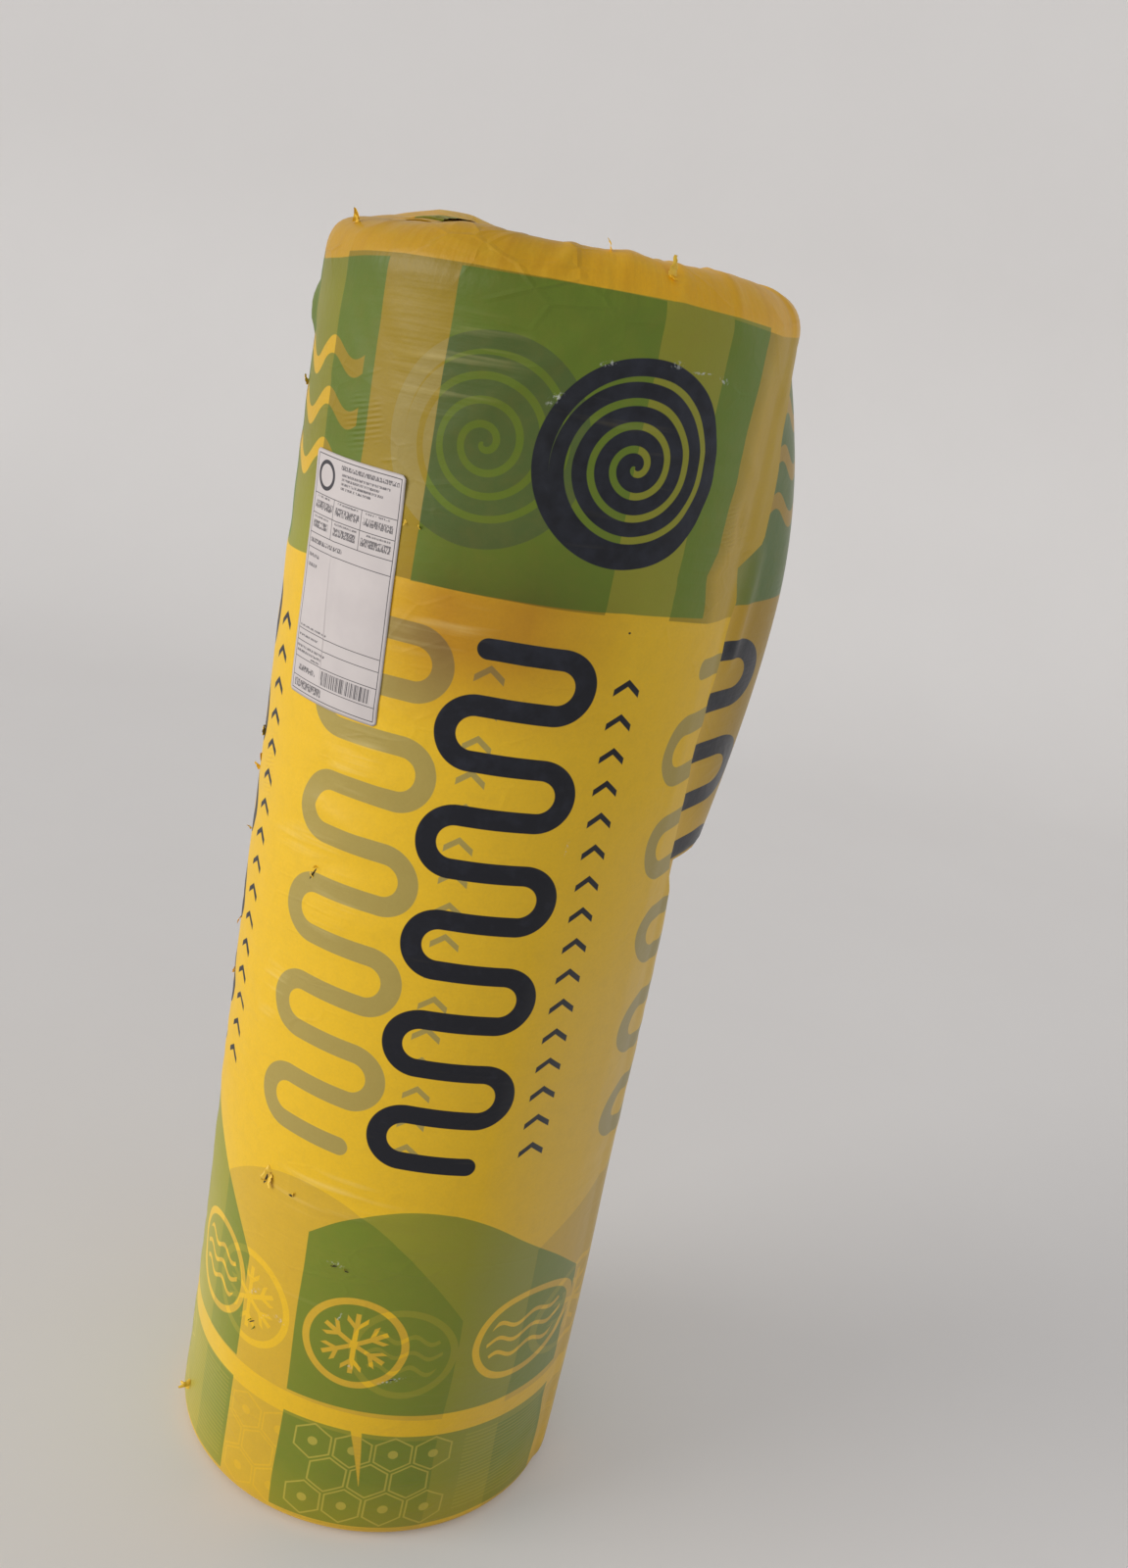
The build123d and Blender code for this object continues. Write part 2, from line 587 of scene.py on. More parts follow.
film = {
    "start": -130.0,                    # first edge, under the outer layer
    "shownFrom": 50.0,                  # from here on the film is seen, one layer thick
    "lapFrom": 230.0,                   # from here on it lies over its own first turn
    "end": 433.0,                       # free edge
    # the free edge wanders, with a notch above the middle: heights and azimuths
    "freeEdge": [
        (0.50, 86), (0.62, 80), (0.71, 68), (0.81, 69), (0.95, 72),
        (0.98, 69), (1.00, 78), (1.06, 78.5), (1.12, 77), (1.17, 79.5),
    ],
    "rowHeight": 0.0062,
    "columnDegrees": 1.42,
    "hiddenDegrees": 7.5,
    "fineParts": 3,                     # more columns on the folded ends, for the pleats
    "tear": 0.705,
    "tearFrom": 80.0,
    "tearTo": 141.0,
    "pleats": 52,
    "pleatHeight": 0.0062,
    "lapGap": 0.0012,                   # under the last of the lap
    "edgeGap": 0.0028,                  # and under the free edge itself
    "hiddenInset": 0.0022,              # how far the part that isn't seen is drawn in
    "wrinkle": 0.0011,
    "rimWrinkle": 0.0009,
    "baseWrinkle": 0.0007,
    "slowLump": 0.0022,
    "quickLump": 0.0010,
    # the folds over the rim rise and sink round the roll: azimuths, and millimetres up
    "rim": [
        (-180, -1), (-160, -3), (-151, 2), (-143, 6), (-133, 6.5), (-125, 3), (-115, -3), (-95, -7),
        (-63, -4), (-50, -1), (-43, 1), (-36, 4), (-30, 7), (-22, 7), (8, 8), (15, 10), (23, 7), (35, 6),
        (48, 5), (64, 2.5), (80, -2), (140, -1), (180, -1),
    ],
    "roughness": 0.43,
    # the print sags round the upper part of the roll: turn angles, and millimetres down
    "sag": [
        (120, 0), (200, 4), (235, 14), (262, 20), (286, 18.5), (298, 13.5), (310, 7), (322, 2),
        (340, -2), (360, -4), (388, -4), (400, -1.5), (406, 0), (418, 4), (433, 4),
    ],
    "width": 1.345,                     # as it was cut
    "length": 1.92,
}

filmRelief = {                          # metres
    "ripple": 0.0010,
    "crinkle": 0.00050,
    "grain": 0.00008,
    "crimp": 0.00045,
    "fold": 0.00034,
    "rimFold": 0.00060,
    "rimTuck": 0.0026,
    "rimMottle": 0.0010,
}


def washed(colour, washes):             # one ink after another, each by its own share
    for share, name in washes:
        colour = blended(share, colour, inks[name])
    return colour


def makeFilmMaterial():
    material, m = newMaterial("printedFilm")
    flat = m.add("ShaderNodeUVMap", {"uv_map": "flat"})["UV"]
    u, v, _ = axesOf(m, flat)
    place = m.add("ShaderNodeTexCoord")["Object"]

    turn = 2 * math.pi * roll["radius"]
    lapStart = (film["lapFrom"] - 360) / 360 * turn
    twoLayers = inked(lapStart - u, 0.004)
    green, dark, pale = printedLayer(u, v)
    underGreen, underDark, underPale = printedLayer(u - turn, v * 0.995 + u * 0.018 + 0.0054)

    cloud = noise(m, place, 7.0, 3.0)
    mottle = noise(m, place, 75.0, 4.0)
    grain = noise(m, place, 420.0, 2.0)
    lengthwise = stretched(m, flat, (9.0, 120.0, 1.0))
    ripples = noise(m, lengthwise, 1.0, 2.0)
    gathered = stretched(m, flat, (75.0, 11.0, 1.0))
    tucks = noise(m, gathered, 1.0, 3.0)

    # two layers of ink, with yellow film between them
    atRim = sloped(v, 1.150, 30.0)
    plain = blended(atRim, inks["film"], inks["filmAtRim"])
    isHigh = sloped(v, 0.45, 3.0) * clamped(1.0 - (u - 0.18) * 30.0) + sloped(v, 0.45, 3.0) * 0.5
    ghost = blended(clamped(isHigh), inks["ghostLow"], inks["ghostHigh"])
    under = blended(underGreen * (1.0 - underPale * 0.5), plain, ghost)
    under = blended(underDark, under, inks["ghostDark"])
    # the loose film is deeper in colour, as it is one layer with no wool behind it, and painted darker for
    # the shade behind and under it
    slackMiddle = math.radians(102 - 360) * roll["radius"]
    upDown = clamped(1.25 - abs(v - 0.925) * 4.6) * sloped(v, 0.700, 90.0)
    slack = clamped(1.9 - abs(u - slackMiddle) * 15.5) * clamped(upDown * 2.0) * (1.0 - twoLayers)
    single = blended(slack, inks["filmOverWool"], inks["slackFilm"])
    under = blended(twoLayers, single, under)
    plain = blended(slack, plain, inks["slackFilm"])
    ground = blended(clamped(0.10 + cloud * 0.16), under, plain)
    isLow = sloped(v, 0.40, -12.0) * clamped(0.2 + cloud * 1.2)
    shade = blended(isLow, inks["green"], inks["lowGreen"])
    shade = blended(underGreen * twoLayers, inks["paleGreen"], shade)
    shade = blended(slack, shade, inks["slackGreen"])
    shade = blended(underDark * twoLayers * 0.8, shade, inks["ghostOnGreen"])
    bare = wedgeMark(u, v)
    colour = blended(green * (1.0 - bare) * clamped(0.88 + cloud * 0.16), ground, shade)
    isRim = atRim * (1.0 - green) * (1.0 - underGreen)
    # patchy painted glare lightens the dark ink, more so higher up
    inkTone = blended(clamped((mottle - 0.40) * 0.9 + (v - 0.9) * 0.5), inks["dark"], inks["wornDark"])
    colour = washed(colour, [
        (pale * (1.0 - bare) * 0.6, "paleLine"),
        (sloped(v, 0.075, -14.0) * clamped(0.2 + cloud) * 0.32, "nearFloor"),
        (sloped(mottle, 0.45, 0.26), "mottle"),
        (sloped(grain, 0.35, 0.16), "grain"),
        (sloped(tucks, 0.48, 3.0) * isRim * 0.45, "rimDeep"),
        (sloped(mottle, 0.50, 3.0) * isRim * 0.40, "rimLight"),
    ])
    colour = blended(dark, colour, inkTone)

    # painted shade: the film is tinted darker at the top and over the rim's top, where less light falls.
    # Above the middle it is darker and more orange, and low on the right lies a painted hazy reflection
    high = sloped(v, 0.96, 12.0) * sloped(u, 0.075, -9.0) * sloped(u, -0.5, 4.0)
    colour = tinted(high * 0.85, colour, inks["highTint"])
    colour = tinted(high * atRim * 0.7, colour, inks["rimTint"])
    amber = clamped(1.35 - abs(u + 0.012) * 11.0) * clamped(1.25 - abs(v - 0.920) * 13.0)
    colour = tinted(amber * (1.0 - dark) * clamped(0.55 + cloud * 0.8), colour, inks["amberTint"])
    # painted reflection: a pale grey haze low on the right, as bright surroundings mirror in the film at a
    # grazing angle
    reflectedHaze = sloped(u, 0.07, 8.0) * sloped(v, 0.80, -4.0) * sloped(v, 0.02, 6.0)
    # painted light: the film is paler low on the left, where more light falls
    litLowLeft = sloped(u, -0.13, -9.0) * sloped(v, 0.42, -4.0) * clamped(0.2 + cloud * 1.2)
    scuff, hole, glare = makeScuffsAndGlare(m, flat, u, v)
    # painted highlights: pale glint streaks, and glare on the creased patches
    glintStreaks = sloped(ripples, 0.64, 5.0) * sloped(cloud, 0.5, 4.0) * 0.4
    shine = glare * sloped(ripples, 0.50, 5.0) + glintStreaks
    # darker in blotches along the foot of the film
    dirt = inked(v - 0.012, 0.05) * sloped(cloud, 0.42, 4.0)
    colour = washed(colour, [
        (reflectedHaze * twoLayers * clamped(0.4 + cloud) * 0.26, "milk"),
        (litLowLeft * twoLayers * 0.46, "paleLow"),
        (clamped(shine * 0.20), "shine"),
        # scuffs, painted pale as highlights on rubbed film
        (scuff * 0.85, "scuff"),
        (hole, "hole"),
        (dirt * 0.35, "dirt"),
    ])

    patches = noise(m, place, 6.0, 1.0)
    crumpled = noise(m, place, 13.0, 2.0)
    crinkle = noise(m, place, 90.0, 3.0)
    relief = filmRelief
    height = ripples * clamped((patches - 0.45) * 5.0 + glare * 1.6) * relief["ripple"]
    height = height + crinkle * relief["crinkle"] + grain * relief["grain"]
    fan = (v - u * 0.22) * (2 * math.pi / 0.0042) + cloud * 16.0
    crimps = fan.calc("SINE", fan) * clamped(spots(u, v, crimpMarks) * 1.5) * clamped(crinkle * 3.0 - 0.9)
    height = height + crimps * relief["crimp"]
    slanted = stretched(m, flat, (20.0, 38.0, 1.0), turn=0.5)
    toEdge = m.add("ShaderNodeTexVoronoi", {"feature": "DISTANCE_TO_EDGE"}, {"Vector": slanted, "Scale": 1.0})
    folds = clamped(1.0 - toEdge["Distance"] * 14.0) * sloped(crumpled, 0.50, 7.0)
    height = height + folds * (relief["fold"] + atRim * relief["rimFold"])
    height = height + tucks * atRim * sloped(patches, 0.30, 3.0) * relief["rimTuck"]
    height = height + mottle * atRim * relief["rimMottle"]
    bump = bumped(m, height, 0.6)
    rough = film["roughness"] + (cloud - 0.5) * 0.16 + scuff * 0.2 - dark * 0.04 - slack * 0.10
    finishMaterial(m, {
        "Base Color": colour, "Roughness": rough, "Normal": bump, "IOR": 1.5, "Specular IOR Level": 0.30})
    return material


# Marks on the film: azimuth, height, half width and half height in millimetres, slant

# whitish scuffs: the film is rubbed and rougher there, and painted pale as streaky highlights
scuffSheenMarks = [
    (-14, 0.313, 10, 3.5, 0),
    (12, 1.128, 8, 2.5, 0.3),
    (28, 1.135, 7, 3.5, 0.1),
    (42, 1.131, 7, 3.5, -0.2),
    (35, 1.133, 12, 1.4, 0.1),
    (6, 0.196, 14, 3, 0.4),
    (-28, 0.228, 8, 3, -0.3),
    (-38, 0.24, 10, 3.5, 0.9),
    (-33, 0.222, 6, 2.5, 0.9),
    (25, 0.745, 1.5, 12, 0.1),
    (2, 1.097, 7, 5, 0.6),
    (-11, 0.255, 1.5, 10, 0.3),
    (-6, 0.205, 4, 3.5, 0),
]

# tears in the film, drawn in the colour: the slits are real, and their dark colour is painted shade inside
# them and under their crumpled lips
holeMarks = [
    (-38.2, 0.677, 1.2, 7, 0.5),
    (-39.6, 0.364, 1.8, 9, 0.3),
    (-30.2, 0.3625, 3, 1.4, 0),
    (-14.5, 0.31, 4, 1.1, 0.3),
    (-11, 0.308, 2.4, 0.9, 0),
    (-37.5, 0.206, 3.6, 1.1, 0.8),
    (30, 0.93, 1.3, 1.1, 0),
    (6, 0.197, 3, 0.8, 0.4),
]

crimpMarks = [
    (-43, 1.056, 26, 26, 0),
    (-66, 0.75, 16, 40, 0),
    (60, 1.02, 12, 30, 0),
]

# places of painted glare, highlights on creased film; the ripple bump is raised there too
glareMarks = [
    (-15, 0.912, 55, 24, 0.25),
    (-42, 0.704, 50, 18, 0.1),
    (-20, 0.38, 80, 28, 0.2),
    (-30, 0.79, 30, 40, 0.2),
    (-31, 0.655, 28, 40, 0.2),
    (-47, 0.555, 20, 45, 0.2),
    (-20, 1.11, 60, 40, 0.2),
]


def spots(u, v, marks):
    shapes = []
    for azimuth, level, wide, tall, slant in marks:
        x = u - azimuth * onFilm
        y = v - level
        if tall > wide:
            x = x - y * slant
        else:
            y = y - x * slant
        shapes.append(1.0 - reach(x * (1000 / wide), y * (1000 / tall)))
    return largest(*shapes)


def makeScuffsAndGlare(m, flat, u, v):
    broken = noise(m, flat, 380.0, 3.0)
    scuff = clamped(spots(u, v, scuffSheenMarks) * 1.2) * sloped(broken, 0.50, 8.0)
    hole = clamped((spots(u, v, holeMarks) + (broken - 0.5) * 0.8) * 3.0)
    glare = clamped(spots(u, v, glareMarks) * 1.6)
    return scuff, hole, glare


# Film: its shape

loose = {
    "low": 0.705,
    "peak": 0.928,
    "high": 1.160,
    "lift": 0.047,                      # at the peak
    "lessAtTear": 0.016,
    "from": 68,                         # azimuths
    "span": 72,
}


def looseLift(azimuth, level):          # slack of the loose stretch above its tear
    low, peak, high = loose["low"], loose["peak"], loose["high"]
    up = np.clip((level - peak) / (high - peak), 0, 1)
    down = np.clip((peak - level) / (peak - low), 0, 1)
    lift = np.where(level > peak, loose["lift"] * (1 - up**2), loose["lift"] - loose["lessAtTear"] * down**2)
    share = np.clip((azimuth - loose["from"]) / loose["span"], 0, 1)
    return lift * 16 * (share * (1 - share)) ** 2


creaseLines = [
    # from azimuth and height, to azimuth and height, half width, depth
    (-24, 1.045, 12, 1.170, 0.008, 1.0),
    (-18, 1.010, 34, 1.130, 0.007, 0.7),
    (10, 1.165, 36, 1.100, 0.006, 0.6),
    (-25, 0.361, 15, 0.385, 0.0045, 1.6),
    (-44, 0.342, 30, 0.345, 0.006, 0.9),
    (-5, 1.186, 13, 1.236, 0.005, 2.0),
    (-58, 1.180, -44, 1.232, 0.006, 1.4),
    (26, 1.182, 34, 1.230, 0.006, 1.4),
    (44, 1.176, 46, 1.226, 0.007, 1.2),
    (-26, 0.940, 8, 0.900, 0.005, 1.6),
    (-26, 0.915, 14, 0.855, 0.006, 1.3),
    (-26, 0.845, -12, 0.820, 0.004, 1.8),
    (-26, 0.828, -8, 0.795, 0.004, 1.5),
    (-50, 0.802, -16, 0.768, 0.005, 1.8),
    (-46, 0.786, -10, 0.745, 0.005, 1.4),
    (-44, 0.740, -24, 0.722, 0.004, 1.4),
    (-66, 1.100, -48, 1.060, 0.006, 0.9),
    (2, 0.565, 50, 0.540, 0.007, 0.6),
    (-34, 0.640, 0, 0.662, 0.006, 0.6),
    (18, 0.950, 62, 0.990, 0.006, 0.9),
    (61, 1.035, 66, 1.000, 0.006, -2.2),
    (57, 1.075, 70, 1.050, 0.005, 1.4),
    (-12, 0.118, 46, 0.152, 0.006, 0.7),
    (54, 0.380, 60, 0.900, 0.009, 0.8),
    (-70, 0.560, -40, 0.520, 0.007, 0.8),
    (-83, 1.136, -79, 1.104, 0.010, 5.5),
    (100, 1.080, 112, 0.720, 0.010, 3.2),
    (80, 1.000, 77, 0.880, 0.0075, 3.0),
    (160, 0.980, 215, 1.060, 0.008, 1.0),
    (150, 0.620, 205, 0.560, 0.008, 0.9),
    (-170, 0.860, -120, 0.910, 0.008, 1.0),
    (-165, 0.420, -110, 0.380, 0.008, 0.9),
    (-130, 0.200, -128, 1.050, 0.009, 1.0),
]


def creases(azimuth, level):            # folds pulled into the film, a millimetre or so high
    total = 0.0
    for fromAz, fromLevel, toAz, toLevel, wide, deep in creaseLines:
        du = azimuthOf(azimuth - fromAz) * onFilm
        dv = level - fromLevel
        bu, bv = (toAz - fromAz) * onFilm, toLevel - fromLevel
        along = np.clip((du * bu + dv * bv) / (bu * bu + bv * bv), 0, 1)
        away = np.hypot(du - along * bu, dv - along * bv)
        total = total + deep * bell(away, 0, wide) * np.sqrt(4 * along * (1 - along))
    return total * 0.001


def lumps(azimuth, level):              # what the wool's own unevenness does to the film
    slow = roundNoise(azimuth, level, 45, 0.30, 11) * film["slowLump"]
    return slow + roundNoise(azimuth, level, 20, 0.11, 12) * film["quickLump"]


def freeEdge(level):                    # azimuth of the outer end at a height
    ragged = 0.6 * roundNoise(0.0, level, 90, 0.03, 22)
    return np.interp(level, *zip(*film["freeEdge"])) + ragged


def filmPoint(turn, width):
    # place of the film at a turn angle from its first edge's zero and a place across its width
    height, rimTop, rimBase = roll["height"], roll["topRim"], roll["baseRim"]
    level = np.clip(width, 0.0, height)
    outer = eased(turn, film["lapFrom"] - 2, film["lapFrom"] + 3)
    hidden = eased(-turn, -58.0, -50.0)

    # the outer end is pulled out of line, and its print with it
    pull = eased(turn, 393.0, film["end"])
    turn = turn + (freeEdge(level) - (film["end"] - 360)) * pull
    azimuth = azimuthOf(turn)

    radius = roll["underRadius"] + (roll["radius"] - roll["underRadius"]) * outer
    out = lumps(azimuth, level)
    lift = looseLift(azimuth, level) * (turn > 0) * (level > 0.7049)
    lap = eased(turn, film["lapFrom"] + 60, film["lapFrom"] + 61)
    lift = np.where(lap > 0, looseLift(azimuth, level) * eased(level, 0.66, 0.71), lift)
    folds = 1 + 0.10 * np.sin(np.radians(azimuth) * 9 + level * 5)
    folds = folds + 0.05 * roundNoise(azimuth, level, 12, 0.2, 21)
    out = out + lift * folds
    gap = film["lapGap"] * eased(turn, 400.0, 424.0)
    gap = gap + film["edgeGap"] * eased(turn, film["end"] - 4.0, film["end"]) ** 2
    out = out + gap * outer
    out = out - film["hiddenInset"] * hidden

    seen = 1 - hidden
    out = out + creases(azimuth, level) * seen
    rippled = np.clip(roundNoise(azimuth, level, 24, 0.10, 32) - 0.15, 0, 1)
    out = out + film["wrinkle"] * roundNoise(azimuth, level, 34, 0.0115, 31) * rippled * seen
    underRim = bell(level, 1.13, 0.05)
    slanted = roundNoise(azimuth + level * 260, level, 4.5, 0.12, 33)
    out = out + film["rimWrinkle"] * slanted * underRim * seen
    aboveBase = bell(level, 0.06, 0.05)
    slanted = roundNoise(azimuth - level * 200, level, 5.5, 0.10, 34)
    out = out + film["baseWrinkle"] * slanted * aboveBase * seen

    # across the width: side, rounded edges, then flat towards the openings
    topStart = height - rimTop
    over = beyond(width, topStart)
    under = beyond(rimBase, width)
    a = np.clip(over / rimTop, 0, math.pi / 2)
    b = np.clip(under / rimBase, 0, math.pi / 2)
    inTop = beyond(over, rimTop * math.pi / 2)
    inBase = beyond(under, rimBase * math.pi / 2)
    r = radius - rimTop * (1 - np.cos(a)) - rimBase * (1 - np.cos(b)) - inTop - inBase
    z = np.clip(width, rimBase, topStart) + rimTop * np.sin(a) - rimBase * np.sin(b)
    nr = np.cos(a) * np.cos(b)
    nz = np.sin(a) - np.sin(b)

    # pleats grow over the edges and lean over each other towards the openings
    phase = azimuth / 360 * film["pleats"] + 1.5 * roundNoise(azimuth, 0.5, 17, 1.0, 41)
    phase = phase + 0.35 * roundNoise(azimuth, over, 11, 0.03, 44) * eased(over, 0.05, 0.09)
    number = np.floor(phase).astype(int)
    t = phase - number
    sizes = np.random.default_rng(42).uniform(0.25, 1.0, 97) ** 1.3
    rise = np.where(t < 0.76, (t / 0.76) ** 1.7, ((1 - t) / 0.24) ** 0.7)
    vary = sizes[number % 97]
    starts = 0.040 + 0.020 * sizes[(number + 31) % 97]
    plump = bell(azimuth, -120, 26)     # here the wool stands up under the folds
    growTop = eased(over, starts, starts + 0.040) * (1 - 0.85 * plump)
    growBase = eased(under, 0.014, 0.060)
    out = out + film["pleatHeight"] * rise * vary * growTop * (1 - 0.45 * eased(over, 0.080, 0.104))
    slipped = (t - 0.5) * (360 / film["pleats"]) * 0.5 * (growTop + growBase)
    bumps = 0.001 * np.interp(azimuth, *zip(*film["rim"]))
    bumps = bumps + 0.0010 * roundNoise(azimuth, 0.8, 24, 1.0, 43)
    bumps = bumps + 0.0008 * roundNoise(azimuth, 0.8, 9, 1.0, 45)
    z = z + eased(over, 0.012, 0.050) * bumps * (1 - eased(over, 0.058, 0.090))
    z = z + (0.0045 * plump - 0.0095 * (1 - plump)) * eased(over, 0.058, 0.095)
    out = np.where(under > rimBase * 1.2, -0.0016 * rise * growBase, out * (1 - eased(under, 0.0, rimBase)))

    r = r + out * nr
    z = np.where(under > 0, np.maximum(z + out * nz, 0.0002), z + out * nz)
    return onRoll(r, azimuth + slipped, z)


def filmRows():
    # places across the width, and whether that row has the fine columns
    sideLow, sideHigh = roll["baseRim"], roll["height"] - roll["topRim"]
    baseEnd = sideLow - sideLow * math.pi / 2 - (roll["radius"] - sideLow - roll["opening"])
    topEnd = sideHigh + roll["topRim"] * math.pi / 2 + (roll["radius"] - roll["topRim"] - roll["opening"])
    sideRows = int((sideHigh - sideLow) / film["rowHeight"])
    side = list(np.linspace(sideLow, sideHigh, sideRows + 1))
    nearest = int(np.argmin(np.abs(np.array(side) - film["tear"])))
    side[nearest:nearest + 1] = [film["tear"] - 0.0005, film["tear"] + 0.0005]
    rows = [(w, True) for w in np.linspace(baseEnd, sideLow, 18)[:-1]]
    rows += [(w, False) for w in side]
    rows += [(w, True) for w in np.linspace(sideHigh, topEnd, 24)[1:]]
    return rows


def rowLevel(turns, width, isFine):
    # the openings' edges and the tear are ragged
    ragged = 1 + 0.16 * roundNoise(turns, 0.4, 7, 1.0, 51) if isFine else 1.0
    inTop = beyond(width - (roll["height"] - roll["topRim"]), 0.055)
    inBase = beyond(roll["baseRim"] - 0.027, width)
    level = np.zeros(turns.shape) + width + (inTop - inBase) * (ragged - 1)
    if abs(width - film["tear"]) < 0.001:
        azimuths = azimuthOf(turns)
        torn = (turns < film["lapFrom"]) * eased(azimuths, 82, 90) * (1 - eased(azimuths, 130, 139))
        wander = 0.007 * roundNoise(azimuths, 0.5, 9, 1.0, 23) + 0.003 * roundNoise(azimuths, 0.5, 4, 1.0, 24)
        level = level + torn * wander
    return level


def printPlace(turns, level):
    # where the print lies: it is drawn aside by the slack, and sags round the upper part
    azimuths = azimuthOf(turns)
    slack = looseLift(azimuths, level) * (turns < film["lapFrom"]) * (turns > 0)
    along = (turns - 360) * 2 * math.pi * roll["radius"] / 360 + slack * 4.0 * (level - 0.93)
    warp = 0.0014 * roundNoise(turns, level, 16, 0.05, 61)
    warp = warp + 0.0048 * roundNoise(turns, level, 60, 0.042, 62) * eased(turns, 396, 422)
    early = 0.0125 + 0.0060 * bell(level, 1.01, 0.035)
    early = early * eased(turns, 396, 414) * (1 - eased(turns, 422, 433))
    along = along + early * eased(level, 0.88, 0.99)
    sag = 0.001 * np.interp(turns, *zip(*film["sag"]))
    sag = sag * eased(level, 0.35, 0.85) * (1 - eased(level, 1.19, 1.235))
    sag = sag - 0.0018 * bell(turns, 372, 26) * eased(level, 1.0, 1.15)
    return np.stack([along + warp, level + sag + warp * 0.5], -1)


def makeFilm(material):
    coarse = list(np.arange(film["start"], film["shownFrom"], film["hiddenDegrees"]))
    coarse += list(np.arange(film["shownFrom"], film["end"], film["columnDegrees"])) + [film["end"]]
    parts = film["fineParts"]
    coarse = np.array(coarse)
    fine = np.interp(np.arange((len(coarse) - 1) * parts + 1) / parts, np.arange(len(coarse)), coarse)

    points, uvs, firsts = [], [], []
    total = 0
    rows = filmRows()
    for width, isFine in rows:
        turns = fine if isFine else coarse
        level = rowLevel(turns, width, isFine)
        points.append(filmPoint(turns, level))
        uvs.append(printPlace(turns, level))
        firsts.append(total)
        total += len(turns)

    faces = []
    for i in range(len(rows) - 1):
        low, high = firsts[i], firsts[i + 1]
        (lowWidth, lowFine), (highWidth, highFine) = rows[i:i + 2]
        torn = max(abs(lowWidth - film["tear"]), abs(highWidth - film["tear"])) < 0.001
        if lowFine == highFine:
            turns = fine if lowFine else coarse
            for j in range(len(turns) - 1):
                if torn and film["tearFrom"] < turns[j] < film["tearTo"] - 2:
                    continue
                faces.append((low + j, low + j + 1, high + j + 1, high + j))
            continue
        for j in range(len(coarse) - 1):
            if highFine:
                top = [high + parts * (j + 1) - k for k in range(parts + 1)]
                faces.append((low + j, low + j + 1, *top))
            else:
                base = [low + parts * j + k for k in range(parts + 1)]
                faces.append((*base, high + j + 1, high + j))
    piece = meshFrom("printed_film", np.concatenate(points), faces, np.concatenate(uvs))
    piece.data.materials.append(material)
    return piece


filmMaterial = makeFilmMaterial()
filmPiece = makeFilm(filmMaterial)
print("film:", len(filmPiece.data.polygons), "faces")


# Wool: one mat wound up, by Geometry Nodes

wool = {
    "turns": 5.0,                       # the last one runs out under the film
    "pathStep": 0.0045,
    "sectionPoints": 56,
    "squareness": 0.022,
    "lump": 0.0035,
    "fuzz": 0.0016,
    "endGap": 0.013,                    # what the turns lack to the roll's height
    "sideGap": 0.004,                   # and to the film's inner side
    "fibresPerArea": 30000.0,
    "fibreLength": 0.009,
    "seed": 5,
}


def startTree(name, sizes):
    tree = bpy.data.node_groups.new(name, "GeometryNodeTree")
    tree.interface.new_socket("Geometry", in_out="INPUT", socket_type="NodeSocketGeometry")
    for label, value in sizes.items():
        kinds = {int: "NodeSocketInt", float: "NodeSocketFloat"}
        kind = kinds.get(type(value), "NodeSocketMaterial")
        tree.interface.new_socket(label, in_out="INPUT", socket_type=kind)
    tree.interface.new_socket("Geometry", in_out="OUTPUT", socket_type="NodeSocketGeometry")
    m = Maker(tree)
    return tree, m, m.add("NodeGroupInput")


def endTree(m, geometry, material):
    whole = m.add("GeometryNodeRealizeInstances", None, {0: geometry})[0]
    coated = m.add("GeometryNodeSetMaterial", None, {"Geometry": whole, "Material": material})[0]
    m.add("NodeGroupOutput", None, {0: coated})


def placeOf(m):
    return m.add("GeometryNodeInputPosition")[0]


def moved(m, geometry, place):
    return m.add("GeometryNodeSetPosition", None, {"Geometry": geometry, "Position": place})[0]


def onFloor(m, geometry):               # nothing reaches below the floor
    whole = m.add("GeometryNodeRealizeInstances", None, {0: geometry})[0]
    x, y, z = axesOf(m, placeOf(m))
    return moved(m, whole, combine(m, x, y, largest(z, 0.0006)))


def remembered(m, geometry, name, value):
    settings = {"data_type": "FLOAT_VECTOR", "domain": "POINT"}
    sockets = {"Geometry": geometry, "Name": name, "Value": value}
    return m.add("GeometryNodeStoreNamedAttribute", settings, sockets)[0]


def recalled(m, name, kind="FLOAT_VECTOR"):
    return m.add("GeometryNodeInputNamedAttribute", {"data_type": kind}, {"Name": name})[0]


def grown(piece, tree, sizes):          # runs the tree on the piece, and leaves a plain mesh
    modifier = piece.modifiers.new("grow", "NODES")
    modifier.node_group = tree
    for item in tree.interface.items_tree:
        if item.in_out == "INPUT" and item.name in sizes:
            modifier[item.identifier] = sizes[item.name]
    seen = piece.evaluated_get(bpy.context.evaluated_depsgraph_get())
    mesh = bpy.data.meshes.new_from_object(seen)
    piece.modifiers.remove(modifier)
    piece.data = mesh
    mesh.name = piece.name
    mesh.shade_smooth()
    return piece


def emptyPiece(name):
    piece = bpy.data.objects.new(name, bpy.data.meshes.new(name))
    bpy.context.collection.objects.link(piece)
    return piece


def combine(m, x, y, z):
    return m.add("ShaderNodeCombineXYZ", None, {0: x, 1: y, 2: z})[0]


